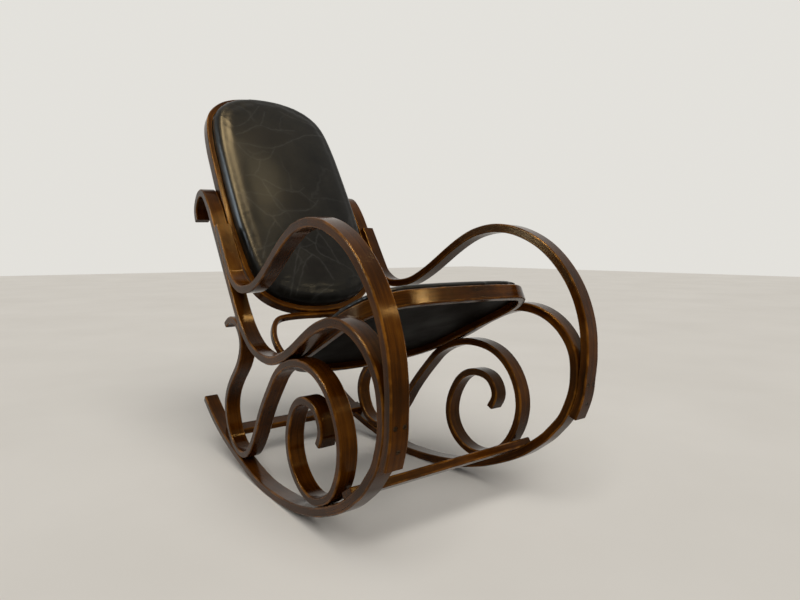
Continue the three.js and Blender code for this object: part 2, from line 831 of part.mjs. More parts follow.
for (const [side, frame] of Object.entries(SIDES)) {
  const arm = armScrews(side);
  const scroll = scrollScrews(side);
  const stretchers = stretcherScrews(side);
  const seats = seatScrews(side);
  const backs = backScrews(side);
  const inRocker = [arm, scroll, stretchers, seats, backs].flatMap(screwsOf);
  piece(frame, `rocker_strip_${side}`,
    drilled(strip(rockerLine, ROCKER_THICKNESS), frame, inRocker), WALNUT);
  piece(frame, `arm_strip_${side}`,
    drilled(strip(armLine(), ARM_THICKNESS), frame, screwsOf(arm)), WALNUT);
  piece(frame, `scroll_strip_${side}`,
    drilled(strip(scrollLine(), SCROLL_THICKNESS), frame, [scroll, seats].flatMap(screwsOf)), WALNUT);
  const rockerFoot = stretch(rockerLine, 'frontTurn', 'tail');
  rockersGrown.push(
    sweep(rockerFoot, ROCKER_THICKNESS + 2 * SEAM, STRIP_WIDTH + 2 * SEAM, STRIP_EDGE)
      .applyMatrix4(inSidePlane).applyMatrix4(frame.matrixWorld),
  );
  stretcherScrewSet.push(stretchers);
  seatScrewSet.push(...screwsOf(seats));
  backScrewSet.push(...screwsOf(backs));
  for (const screws of [arm, scroll, stretchers, seats, backs]) addScrews(screws, `_${side}`);
}

for (const name of Object.keys(STRETCHERS)) {
  stretcher(name, rockersGrown, stretcherScrewSet.map((set) => set[`${name}_stretcher_screw`]));
}

const seatHoopLine = seatLine();
const seatTop = SEAT_BAND_HEIGHT;
piece(seat, 'seat_hoop', drilled(
  hoop(seatHoopLine, SEAT_BAND_THICKNESS, SEAT_BAND_HEIGHT).translate(0, 0, seatTop / 2),
  seat, [...seatScrewSet, ringScrewSet.ring_seat_screw],
), WALNUT);
piece(seat, 'seat_panel', sheet(
  insideOf(seatHoopLine, SEAT_BAND_THICKNESS / 2 + SEAM), SEAT_PANEL_THICKNESS, SEAT_PANEL_RECESS,
), DARK_PANEL);
cushion(seat, 'seat', seatHoopLine, {
  inset: SEAT_PAD_INSET - SEAT_BAND_THICKNESS / 2,
  level: seatTop + SEAM,
  side: SEAT_PAD_SIDE,
  crown: SEAT_PAD_CROWN,
  drawIn: SEAT_PAD_INSET,
});

const backHoopLine = backLine();
const backPanelLevel = BACK_PANEL_RECESS - BACK_RIM_DEPTH;
piece(back, 'back_hoop', drilled(
  hoop(backHoopLine, BACK_RIM_THICKNESS, BACK_RIM_DEPTH).translate(0, 0, -BACK_RIM_DEPTH / 2),
  back, [...backScrewSet, ringScrewSet.ring_back_screw],
), WALNUT);
piece(back, 'back_panel', sheet(
  insideOf(backHoopLine, BACK_RIM_THICKNESS / 2 + SEAM), BACK_PANEL_THICKNESS, backPanelLevel,
), DARK_PANEL);
const backPadForm = {
  inset: BACK_RIM_THICKNESS / 2 + BACK_PAD_INSET,
  level: backPanelLevel + BACK_PANEL_THICKNESS + SEAM,
  side: BACK_PAD_SIDE,
  crown: BACK_PAD_CROWN,
  drawIn: BACK_PAD_INSET,
};
cushion(back, 'back', backHoopLine, backPadForm, [sheet(
  insideOf(backHoopLine, backPadForm.inset + COVER_THICKNESS + BACK_FILLING_WALL),
  OVERRUN + BACK_PAD_SIDE + BACK_PAD_CROWN - BACK_FILLING_ROOF, backPadForm.level - OVERRUN,
)]);

const toRing = ring.matrixWorld.clone().invert();
const seatHoopGrown = hoop(seatHoopLine, SEAT_BAND_THICKNESS, SEAT_BAND_HEIGHT, SEAM)
  .translate(0, 0, seatTop / 2).applyMatrix4(seat.matrixWorld).applyMatrix4(toRing);
const backHoopGrown = hoop(backHoopLine, BACK_RIM_THICKNESS, BACK_RIM_DEPTH, SEAM)
  .translate(0, 0, -BACK_RIM_DEPTH / 2).applyMatrix4(back.matrixWorld).applyMatrix4(toRing);
piece(ring, 'back_support_ring', drilled(
  hoop(ringLine(), RING_THICKNESS, RING_DEPTH), ring, screwsOf(ringScrewSet),
  [seatHoopGrown, backHoopGrown],
), WALNUT);
addScrews(ringScrewSet);

// The origin goes to the middle of the footprint, on the floor
const bounds = new THREE.Box3().setFromObject(chair, true);
chair.position.set(0, -(bounds.min.y + bounds.max.y) / 2, -bounds.min.z);

export default chair;
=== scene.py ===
"""Looks of the bentwood rocking chair: lacquered bent strips, leather pads, camera and light."""

import math

import bpy
import numpy as np
from mathutils import Euler, Matrix, Vector


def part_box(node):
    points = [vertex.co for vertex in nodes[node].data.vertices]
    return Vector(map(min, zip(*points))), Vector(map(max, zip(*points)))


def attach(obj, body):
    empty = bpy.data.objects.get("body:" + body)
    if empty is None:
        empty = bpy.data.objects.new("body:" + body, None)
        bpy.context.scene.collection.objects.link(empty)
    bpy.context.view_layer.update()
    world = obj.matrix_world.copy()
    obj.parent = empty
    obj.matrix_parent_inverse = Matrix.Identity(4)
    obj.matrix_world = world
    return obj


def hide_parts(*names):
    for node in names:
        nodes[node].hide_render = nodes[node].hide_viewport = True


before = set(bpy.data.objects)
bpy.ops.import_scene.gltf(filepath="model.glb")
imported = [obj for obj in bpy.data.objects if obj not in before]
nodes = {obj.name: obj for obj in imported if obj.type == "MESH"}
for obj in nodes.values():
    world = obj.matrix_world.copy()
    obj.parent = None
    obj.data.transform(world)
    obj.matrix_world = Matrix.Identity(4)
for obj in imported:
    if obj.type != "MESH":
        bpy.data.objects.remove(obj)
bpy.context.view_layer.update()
bpy.context.scene.view_settings.view_transform = "Standard"


def mm(value):
    return value / 1000


# Camera

CAMERA_PLACE = (-0.8131, -1.2559, 0.5666)
CAMERA_AZIMUTH = math.radians(-37.607)
CAMERA_ELEVATION = math.radians(4.763)
CAMERA_ROLL = math.radians(0.093)
CAMERA_LENS_MM = 27.0
CAMERA_SENSOR_MM = 36
CAMERA_CLIP_START = 0.05


def make_camera():
    a, e, roll = CAMERA_AZIMUTH, CAMERA_ELEVATION, CAMERA_ROLL
    back = Vector((math.sin(a) * math.cos(e), -math.cos(a) * math.cos(e), math.sin(e)))
    level = Vector((math.cos(a), math.sin(a), 0))
    upright = back.cross(level)
    right = level * math.cos(roll) + upright * math.sin(roll)
    up = upright * math.cos(roll) - level * math.sin(roll)
    data = bpy.data.cameras.new("camera")
    data.lens = CAMERA_LENS_MM
    data.sensor_width = CAMERA_SENSOR_MM
    data.clip_start = CAMERA_CLIP_START
    camera = bpy.data.objects.new("camera", data)
    turn = Matrix((right, up, back)).transposed().to_4x4()
    camera.matrix_world = Matrix.Translation(CAMERA_PLACE) @ turn
    bpy.context.scene.collection.objects.link(camera)
    bpy.context.scene.camera = camera


make_camera()

# Sizes that the bends share with the solids

FRAME_LENGTH = mm(977)
FRAME_HEIGHT = mm(730)
HALF_SPREAD = mm(216.3)
TOE_OUT = math.radians(2.6)
LEAN_OUT = math.radians(1.8)
STRIP_WIDTH = mm(38)
ROCKER_THICKNESS = mm(20)
ARM_THICKNESS = mm(20)
SCROLL_THICKNESS = mm(17)
STRIP_EDGE = mm(2.6)
STRETCHER_WIDTH = mm(35)
STRETCHER_THICKNESS = mm(18)
STRETCHER_HOUSING = mm(2)
SEAT_FRONT = (mm(437), mm(470))
SEAT_TILT = math.radians(25.3)
SEAT_LENGTH = mm(478)
SEAT_BAND_HEIGHT = mm(32)
SEAT_BAND_THICKNESS = mm(17)
BACK_FOOT = (mm(123), mm(405))
BACK_LEAN = math.radians(31)
BACK_LENGTH = mm(722)
BACK_HALF_WIDTH = mm(204)
BACK_RIM_DEPTH = mm(30)
BACK_RIM_THICKNESS = mm(16)
HOOP_EDGE = mm(3)
RING_WIDTH = mm(342)
RING_DEPTH = mm(18)
RING_THICKNESS = mm(13)
RING_SEAT_HOUSING = mm(3)
RING_BACK_HOUSING = mm(1.5)
SEAM = mm(0.3)
ORIGIN_SHIFT = Vector((0, mm(10.4890), mm(0.5075)))

# Stations of each centre line: share along, share up, heading in degrees
ROCKER_SHARES = {
    "hookEnd": (-0.4210, 0.8850, 112),
    "hookSide": (-0.4270, 0.9165, 90),
    "hookShoulder": (-0.4040, 0.9685, 42),
    "hookTop": (-0.3700, 0.9863, -2),
    "hookFall": (-0.3330, 0.9600, -46),
    "postTop": (-0.2989, 0.9041, -57),
    "armTopSeat": (-0.2710, 0.8459, -57),
    "armFootSeat": (-0.1944, 0.6862, -57),
    "postFoot": (-0.1535, 0.6027, -57),
    "hookSeat": (-0.1146, 0.5322, -48),
    "dipStart": (-0.0839, 0.4945, -38.5),
    "dipSide": (-0.0200, 0.4515, -14),
    "dip": (0.0410, 0.4418, 0),
    "archSeat": (0.1330, 0.4685, 21),
    "rise": (0.2200, 0.5270, 29.5),
    "archSide": (0.3185, 0.5870, 16),
    "archTop": (0.3720, 0.6008, 0),
    "archFall": (0.4560, 0.5700, -32),
    "frontShoulder": (0.5060, 0.4990, -62),
    "frontSeatTop": (0.5185, 0.3950, -92),
    "frontSeatFoot": (0.5000, 0.3030, -112),
    "frontTurn": (0.4600, 0.2290, -129.5),
    "frontFoot": (0.4180, 0.1785, -141),
    "frontStretcher": (0.3885, 0.1488, -146.5),
    "loopSeat": (0.2900, 0.0820, -157),
    "rockerFront": (0.2100, 0.0465, -165),
    "rockerFore": (0.0700, 0.0168, -175.5),
    "floorFore": (0.0276, 0.0137, -178),
    "floorAft": (-0.0327, 0.0137, 176.5),
    "rockerAft": (-0.0900, 0.0232, 171),
    "footSeat": (-0.1790, 0.0480, 168),
    "rearStretcher": (-0.2820, 0.0850, 162.5),
    "rockerRear": (-0.3600, 0.1260, 155),
    "tail": (-0.4400, 0.1890, 148),
}
ARM_SHARES = (
    (-0.1400, 0.6620, -26),
    (-0.0950, 0.6479, 1),
    (-0.0020, 0.6726, 25),
    (0.0809, 0.7356, 33.5),
    (0.1627, 0.8035, 28),
    (0.2220, 0.8360, 14),
    (0.2830, 0.8466, -1),
    (0.3490, 0.8335, -17),
    (0.4350, 0.7753, -38),
    (0.4995, 0.6808, -57),
    (0.5360, 0.5630, -77),
    (0.5428, 0.4720, -88),
)
SCROLL_SHARES = {
    "hookEnd": (-0.2211, 0.5130, 38),
    "hookTop": (-0.1699, 0.5377, 0),
    "hookSeat": None,
    "neck": (-0.1126, 0.4699, -90),
    "neckTurn": (-0.1290, 0.4110, -123),
    "backSlope": (-0.1996, 0.3190, -136),
    "backSide": (-0.2500, 0.2120, -98),
    "backTurn": (-0.2350, 0.1280, -62),
    "footSeat": None,
    "footRise": (-0.0990, 0.1030, 41),
    "upSlope": (-0.0215, 0.2342, 56.5),
    "upTurn": (0.0737, 0.3850, 47),
    "archSeat": None,
    "archTop": (0.2200, 0.4670, 0),
    "archFall": (0.3030, 0.4425, -29),
    "archSide": (0.3654, 0.3438, -70),
    "bigRight": (0.3735, 0.2740, -94),
    "bigFall": (0.3388, 0.1575, -128),
    "loopSeat": None,
    "loopLow": (0.2350, 0.0940, 176),
    "loopTurn": (0.1638, 0.1411, 131),
    "innerLeft": (0.1430, 0.2150, 91),
    "innerRise": (0.1680, 0.3150, 57),
    "innerTop": (0.2390, 0.3680, 0),
    "innerFall": (0.2870, 0.3440, -52),
    "innerRight": (0.2990, 0.3020, -92),
    "scrollEnd": (0.2850, 0.2610, -118),
}
SEAT_FRONT_SHARES = ((0, 0, 0), (0.6200, 0.0120, 6))
SEAT_REAR_SHARES = ((0.7240, 0.9080, 146), (0.2700, 0.9880, 168), (0, 1, 180))
SEAT_SIDE_SHARES = (0.28, 0.72)
BACK_FOOT_SHARES = (
    (0, 0, 0),
    (0.5930, 0.0346, 27),
    (0.8000, 0.0800, 50),
    (0.9080, 0.1420, 74),
    (0.9680, 0.2700, 85),
)
BACK_HEAD_SHARES = (
    (0.9930, 0.6240, 91.5),
    (0.9815, 0.7340, 94),
    (0.9515, 0.8150, 100),
    (0.8430, 0.9017, 125),
    (0.6570, 0.9536, 144),
    (0.3430, 0.9900, 167),
    (0, 1, 180),
)
BACK_SIDE_SHARES = (0.4, 0.49)
RING_HALF_SHARES = (
    (0, 0, 0),
    (0.6000, 0.0050, 6),
    (0.8200, 0.0700, 40),
    (0.9450, 0.2400, 68),
    (1, 0.5000, 90),
    (0.9450, 0.7600, 112),
    (0.8200, 0.9300, 140),
    (0.6000, 0.9950, 174),
    (0, 1, 180),
)

# Centre lines. A station is an array: along, up, heading in radians

POINT_STEP = mm(1.5)


def station(length, height, shares):
    along, up, degrees = shares
    return np.array((along * length, up * height, math.radians(degrees)))


def offset(line, distance):
    """The line moved to its left by a distance."""
    line = np.array(line, float)
    moved = line.copy()
    moved[..., 0] -= np.sin(line[..., 2]) * distance
    moved[..., 1] += np.cos(line[..., 2]) * distance
    return moved


def leg(start, end):
    """Close points of one cubic bend from a station up to the next."""
    turn = (end[2] - start[2] + math.pi) % math.tau - math.pi
    chord = math.hypot(*(end - start)[:2])
    reach = chord / (3 * math.cos(turn / 4) ** 2)
    first = start[:2] + reach * np.array((math.cos(start[2]), math.sin(start[2])))
    second = end[:2] - reach * np.array((math.cos(end[2]), math.sin(end[2])))
    steps = max(4, math.ceil(chord / POINT_STEP))
    t = np.arange(steps)[:, None] / steps
    s = 1 - t
    place = s**3 * start[:2] + 3 * s * s * t * first + 3 * s * t * t * second + t**3 * end[:2]
    slope = s * s * (first - start[:2]) + 2 * s * t * (second - first) + t * t * (end[:2] - second)
    heading = np.arctan2(slope[:, 1], slope[:, 0])
    return np.column_stack((place, heading))


def bend(stations, closed=False):
    ends = stations[1:] + stations[:1] if closed else stations[1:]
    legs = [leg(start, end) for start, end in zip(stations, ends)]
    return np.vstack(legs if closed else [*legs, stations[-1]])


def hoop_line(half, thickness):
    mirrored = [np.array((-p, q, math.tau - h)) for p, q, h in half[-2:0:-1]]
    return offset(bend([*half, *mirrored], closed=True), thickness / 2)


def side_stations():
    return {name: station(FRAME_LENGTH, FRAME_HEIGHT, s) for name, s in ROCKER_SHARES.items()}


def rocker_line():
    return bend(list(side_stations().values()))


def arm_line():
    rocker = side_stations()
    names = list(rocker)
    gap = (ROCKER_THICKNESS + ARM_THICKNESS) / 2 + SEAM

    def beside(first, last):
        part = names[names.index(first):names.index(last) + 1]
        return offset(bend([rocker[name] for name in part]), gap)

    post = beside("armTopSeat", "armFootSeat")
    front = beside("frontSeatTop", "frontSeatFoot")
    free = [station(FRAME_LENGTH, FRAME_HEIGHT, shares) for shares in ARM_SHARES]
    between = bend([post[-1], *free, front[0]])
    return np.vstack((post[:-1], between, front[1:]))


def scroll_line():
    rocker = side_stations()
    gap = (ROCKER_THICKNESS + SCROLL_THICKNESS) / 2 + SEAM
    stations = []
    for name, shares in SCROLL_SHARES.items():
        if shares:
            place = station(FRAME_LENGTH, FRAME_HEIGHT, shares)
        else:
            place = offset(rocker[name], -gap)
        if name == "footSeat":
            place[2] -= math.pi
        stations.append(place)
    return bend(stations)


def inner_half(forward, height):
    """Half the distance between the inner faces of the side frames."""
    face = HALF_SPREAD - STRIP_WIDTH / 2 / (math.cos(LEAN_OUT) * math.cos(TOE_OUT))
    return face + math.tan(TOE_OUT) * forward + math.tan(LEAN_OUT) / math.cos(TOE_OUT) * height


def seat_side(share):
    back = share * SEAT_LENGTH
    forward = SEAT_FRONT[0] - back * math.cos(SEAT_TILT)
    height = SEAT_FRONT[1] - back * math.sin(SEAT_TILT)
    return inner_half(forward, height) - SEAM, back


def back_side(share):
    rise = share * BACK_LENGTH
    forward = -BACK_FOOT[0] - rise * math.sin(BACK_LEAN) - BACK_RIM_DEPTH * math.cos(BACK_LEAN)
    height = BACK_FOOT[1] + rise * math.cos(BACK_LEAN) - BACK_RIM_DEPTH * math.sin(BACK_LEAN)
    return inner_half(forward, height) - SEAM, rise


def hoop_between(first, last, side, shares, width, length, thickness):
    """A hoop whose straight sides lie on the side frames, and whose ends are given stations."""
    start, end = side(shares[0]), side(shares[1])
    heading = math.atan2(end[1] - start[1], end[0] - start[0])
    straight = [np.array((*place, heading)) for place in (start, end)]
    width = width or start[0]
    ends = [[station(width, length, s) for s in table] for table in (first, last)]
    return hoop_line([*ends[0], *straight, *ends[1]], thickness)


def seat_line():
    return hoop_between(SEAT_FRONT_SHARES, SEAT_REAR_SHARES, seat_side, SEAT_SIDE_SHARES,
                        None, SEAT_LENGTH, SEAT_BAND_THICKNESS)


def back_line():
    return hoop_between(BACK_FOOT_SHARES, BACK_HEAD_SHARES, back_side, BACK_SIDE_SHARES,
                        BACK_HALF_WIDTH, BACK_LENGTH, BACK_RIM_THICKNESS)


# Planes: each turns a place along, up and across a bend's plane into the chair's frame

def side_plane(side):
    turn = Euler((0, side * LEAN_OUT, side * TOE_OUT), "XYZ").to_matrix().to_4x4()
    stand = Matrix.Translation(ORIGIN_SHIFT + Vector((side * HALF_SPREAD, 0, 0)))
    flat = Matrix(((0, 0, -1, 0), (-1, 0, 0, 0), (0, 1, 0, 0), (0, 0, 0, 1)))
    return stand @ turn @ flat


def tilted(place, angle):
    return Matrix.Translation(ORIGIN_SHIFT + Vector(place)) @ Matrix.Rotation(angle, 4, "X")


SEAT_PLANE = tilted((0, -SEAT_FRONT[0], SEAT_FRONT[1]), -SEAT_TILT)
BACK_PLANE = tilted((0, *BACK_FOOT), math.pi / 2 - BACK_LEAN)


def raised(plane, height):
    return plane @ Matrix.Translation((0, 0, height))


def ring_plane():
    rear = SEAT_PLANE @ Vector((0, SEAT_LENGTH + RING_DEPTH / 2 - RING_SEAT_HOUSING,
                                SEAT_BAND_HEIGHT / 2))
    foot = BACK_PLANE @ Vector((0, RING_BACK_HOUSING - RING_THICKNESS / 2, -BACK_RIM_DEPTH / 2))
    run = foot - rear
    plane = Matrix.Translation(rear) @ Matrix.Rotation(math.atan2(run.z, run.y), 4, "X")
    return plane, run.length + RING_THICKNESS


def ring_line(height):
    half = [station(RING_WIDTH / 2, height, shares) for shares in RING_HALF_SHARES]
    for place in half:
        place[1] -= RING_THICKNESS / 2
    return hoop_line(half, RING_THICKNESS)


def stretcher_plane(name):
    seat = side_stations()[name]
    rise = (ROCKER_THICKNESS + STRETCHER_THICKNESS) / 2 - STRETCHER_HOUSING
    centre = offset(seat, -rise)
    slope = (centre[2] % math.tau) - math.pi
    level = Matrix(((1, 0, 0, 0), (0, 0, -1, 0), (0, 1, 0, 0), (0, 0, 0, 1)))
    place = ORIGIN_SHIFT + Vector((0, -centre[0], centre[1]))
    return Matrix.Translation(place) @ Matrix.Rotation(-slope, 4, "X") @ level


def straight_line(half_length):
    return np.array([(x, 0, 0) for x in np.arange(-half_length, half_length, POINT_STEP)])


# Bent pieces: each solid is unrolled along its centre line, divided finely and rolled up again,
# so that its bends are smooth and its grain follows them

FINE_STEP = mm(9)  # the longest step along a bend
SNAP = mm(0.6)  # how far off a broad face a corner still counts as on it
FACE_TOLERANCE = mm(0.05)
BROAD_MARGIN = mm(0.1)
THIN_MARGIN = mm(0.5)
FLAT_DOT = 0.6  # how near a smooth normal must be to that of its face
UNROLL_ROUNDS = 3


class Bend:
    """A centre line with its distances, to roll places up and to unroll them."""

    def __init__(self, line, closed):
        self.line = np.vstack((line, line[:1])) if closed else line
        self.closed = closed
        gaps = np.hypot(*np.diff(self.line[:, :2], axis=0).T)
        self.run = np.concatenate(([0], np.cumsum(gaps)))
        self.length = self.run[-1]
        self.heading = np.unwrap(self.line[:, 2])

    def at(self, run):
        inside = np.mod(run, self.length) if self.closed else np.clip(run, 0, self.length)
        past = run - inside if not self.closed else np.zeros_like(inside)
        p = np.interp(inside, self.run, self.line[:, 0])
        q = np.interp(inside, self.run, self.line[:, 1])
        heading = np.interp(inside, self.run, self.heading)
        return p + np.cos(heading) * past, q + np.sin(heading) * past, heading

    def unroll(self, places):
        """Distance along the line and to its left, for places in its plane."""
        run = np.empty(len(places))
        for i, place in enumerate(places):
            near = np.argmin(np.hypot(self.line[:, 0] - place[0], self.line[:, 1] - place[1]))
            run[i] = self.run[near]
        for _ in range(UNROLL_ROUNDS):
            p, q, heading = self.at(run)
            ahead = np.cos(heading) * (places[:, 0] - p) + np.sin(heading) * (places[:, 1] - q)
            run = run + ahead
        p, q, heading = self.at(run)
        left = np.cos(heading) * (places[:, 1] - q) - np.sin(heading) * (places[:, 0] - p)
        return run, left

    def roll(self, run, left):
        p, q, heading = self.at(run)
        return p - np.sin(heading) * left, q + np.cos(heading) * left, heading


def triangles(node):
    mesh = node.data
    mesh.calc_loop_triangles()
    co = np.empty(len(mesh.vertices) * 3)
    mesh.vertices.foreach_get("co", co)
    corners = np.empty(len(mesh.loop_triangles) * 3, np.int32)
    mesh.loop_triangles.foreach_get("vertices", corners)
    co, merged = np.unique(np.round(co.reshape(-1, 3), 6), axis=0, return_inverse=True)
    return co, merged.reshape(-1)[corners].reshape(-1, 3)


def divided(corners, step):
    """Triangles split in two, three or four until none is longer along the bend than a step."""
    while True:
        long = np.abs(corners[:, [1, 2, 0], 0] - corners[:, :, 0]) > step
        count = long.sum(1)
        if not count.any():
            return corners
        first = np.where(count == 2, (np.argmin(long, 1) + 1) % 3, np.argmax(long, 1))
        order = (first[:, None] + np.arange(3)) % 3
        turned = np.take_along_axis(corners, order[:, :, None], 1)
        a, b, c = turned[:, 0], turned[:, 1], turned[:, 2]
        ab, bc, ca = (a + b) / 2, (b + c) / 2, (c + a) / 2

        def made(which, *shapes):
            return [np.stack(shape, 1)[which] for shape in shapes]

        corners = np.vstack(
            made(count == 0, (a, b, c))
            + made(count == 1, (a, ab, c), (ab, b, c))
            + made(count == 2, (ab, b, bc), (a, ab, bc), (a, bc, c))
            + made(count == 3, (a, ab, ca), (ab, b, bc), (ca, bc, c), (ab, bc, ca))
        )


def bent_piece(node_name, plane, line, thickness, width, edge, closed=False):
    """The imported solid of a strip, smoothed along its bends, with its grain as attributes."""
    bow = Bend(line, closed)
    co, faces = triangles(nodes[node_name])
    flat = np.array(plane.inverted())
    local = co @ flat[:3, :3].T + flat[:3, 3]
    run, left = bow.unroll(local[:, :2])
    across = local[:, 2]
    half_t, half_w = thickness / 2, width / 2
    broad_half = half_w - edge + BROAD_MARGIN
    on_face = (np.abs(np.abs(left) - half_t) < SNAP) & (np.abs(across) < broad_half)
    left = np.where(on_face, np.sign(left) * half_t, left)
    corners = np.stack((run, left, across), 1)[faces]
    if closed:
        runs = corners[:, :, 0]
        wraps = np.ptp(runs, axis=1) > bow.length / 2
        runs[wraps] += np.where(runs[wraps] < bow.length / 2, bow.length, 0)
    corners = divided(corners, FINE_STEP)
    run, left, across = corners.reshape(-1, 3).T
    p, q, heading = bow.roll(run, left)
    world = np.array(plane)
    places = np.stack((p, q, across), 1) @ world[:3, :3].T + world[:3, 3]
    _, first, index = np.unique(np.round(places, 6), axis=0, return_index=True, return_inverse=True)
    tris = index.reshape(-1, 3)
    whole = (tris[:, 0] != tris[:, 1]) & (tris[:, 1] != tris[:, 2]) & (tris[:, 2] != tris[:, 0])
    kept = np.repeat(whole, 3)
    mesh = bpy.data.meshes.new(node_name)
    mesh.from_pydata(places[first].tolist(), [], tris[whole].tolist())
    grain = mesh.attributes.new("grain", "FLOAT_VECTOR", "CORNER")
    grain.data.foreach_set("vector", np.stack((run, left, across), 1)[kept].ravel())
    half = mesh.attributes.new("half_size", "FLOAT_VECTOR", "POINT")
    half.data.foreach_set("vector", np.tile((0, half_t, half_w), len(mesh.vertices)))

    # Normals follow the bend on the broad faces and the edges, and the faces elsewhere
    sides = places[kept].reshape(-1, 3, 3)
    facing = np.cross(sides[:, 1] - sides[:, 0], sides[:, 2] - sides[:, 0])
    facing /= np.linalg.norm(facing, axis=1)[:, None] + 1e-12
    facing = np.repeat(facing, 3, 0)
    run, left, across, heading = (values[kept] for values in (run, left, across, heading))
    outward = np.stack((-np.sin(heading), np.cos(heading), np.zeros_like(heading)), 1)
    outward = outward * np.sign(left)[:, None] @ world[:3, :3].T
    sideways = np.sign(across)[:, None] * world[:3, 2]
    broad = (np.abs(np.abs(left) - half_t) < FACE_TOLERANCE) & (np.abs(across) < broad_half)
    thin_half = half_t - edge + THIN_MARGIN
    thin = (np.abs(np.abs(across) - half_w) < FACE_TOLERANCE) & (np.abs(left) < thin_half)
    normals = np.where(broad[:, None], outward, np.where(thin[:, None], sideways, facing))
    normals = np.where(((normals * facing).sum(1) > FLAT_DOT)[:, None], normals, facing)
    mesh.polygons.foreach_set("use_smooth", np.ones(len(mesh.polygons), bool))
    mesh.normals_split_custom_set(normals.tolist())
    mesh.update()
    piece = bpy.data.objects.new(node_name + "_bent", mesh)
    bpy.context.scene.collection.objects.link(piece)
    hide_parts(node_name)
    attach(piece, "root")
    piece.data.materials.append(WALNUT)


# Materials

class Shader:
    """A material's nodes, added one by one onto a Principled shader."""

    def __init__(self, name, **fixed):
        self.material = bpy.data.materials.new(name)
        self.material.use_nodes = True
        self.tree = self.material.node_tree
        self.tree.nodes.clear()
        self.surface = self.node("ShaderNodeBsdfPrincipled")
        end = self.node("ShaderNodeOutputMaterial")
        self.tree.links.new(self.surface.outputs["BSDF"], end.inputs["Surface"])
        for socket, value in fixed.items():
            self.surface.inputs[socket.replace("_", " ")].default_value = value

    def node(self, kind, **settings):
        made = self.tree.nodes.new(kind)
        for name, value in settings.items():
            setattr(made, name, value)
        return made

    def set(self, node, **inputs):
        for socket, value in inputs.items():
            key = int(socket[1:]) if socket[0] == "i" and socket[1:].isdigit() else socket
            target = node.inputs[key if isinstance(key, int) else key.replace("_", " ")]
            if isinstance(value, bpy.types.NodeSocket):
                self.tree.links.new(value, target)
            else:
                target.default_value = value
        return node

    def attribute(self, name):
        return self.node("ShaderNodeAttribute", attribute_name=name)

    def place(self):
        return self.node("ShaderNodeTexCoord").outputs["Object"]

    def scaled(self, vector, scale):
        return self.set(self.node("ShaderNodeMapping"), Vector=vector, Scale=scale).outputs[0]

    def noise(self, vector, scale, detail=3.0, roughness=0.55, distortion=0.0):
        made = self.set(self.node("ShaderNodeTexNoise"), Vector=vector, Scale=scale, Detail=detail,
                        Roughness=roughness, Distortion=distortion)
        return made.outputs["Fac"]

    def math(self, operation, first, second=0.0, third=0.0):
        made = self.node("ShaderNodeMath", operation=operation)
        return self.set(made, i0=first, i1=second, i2=third).outputs[0]

    def between(self, value, low, high, to_low=0.0, to_high=1.0):
        made = self.node("ShaderNodeMapRange", interpolation_type="SMOOTHSTEP")
        self.set(made, Value=value, From_Min=low, From_Max=high, To_Min=to_low, To_Max=to_high)
        return made.outputs["Result"]

    def ramp(self, value, stops):
        made = self.node("ShaderNodeValToRGB")
        row = made.color_ramp.elements
        while len(row) < len(stops):
            row.new(1)
        for spot, (place, colour) in zip(row, stops):
            spot.position = place
            spot.color = (*colour, 1)
        return self.set(made, Fac=value).outputs["Color"]

    def mix(self, share, first, second):
        made = self.node("ShaderNodeMix", data_type="RGBA")
        first, second = ((*c, 1) if isinstance(c, tuple) else c for c in (first, second))
        return self.set(made, i0=share, i6=first, i7=second).outputs[2]

    def bump(self, height, strength, distance, under=None):
        made = self.set(self.node("ShaderNodeBump"), Height=height, Strength=strength,
                        Distance=distance)
        if under is not None:
            self.set(made, Normal=under)
        return made.outputs["Normal"]

    def shows(self, **sockets):
        self.set(self.surface, **sockets)
        return self.material


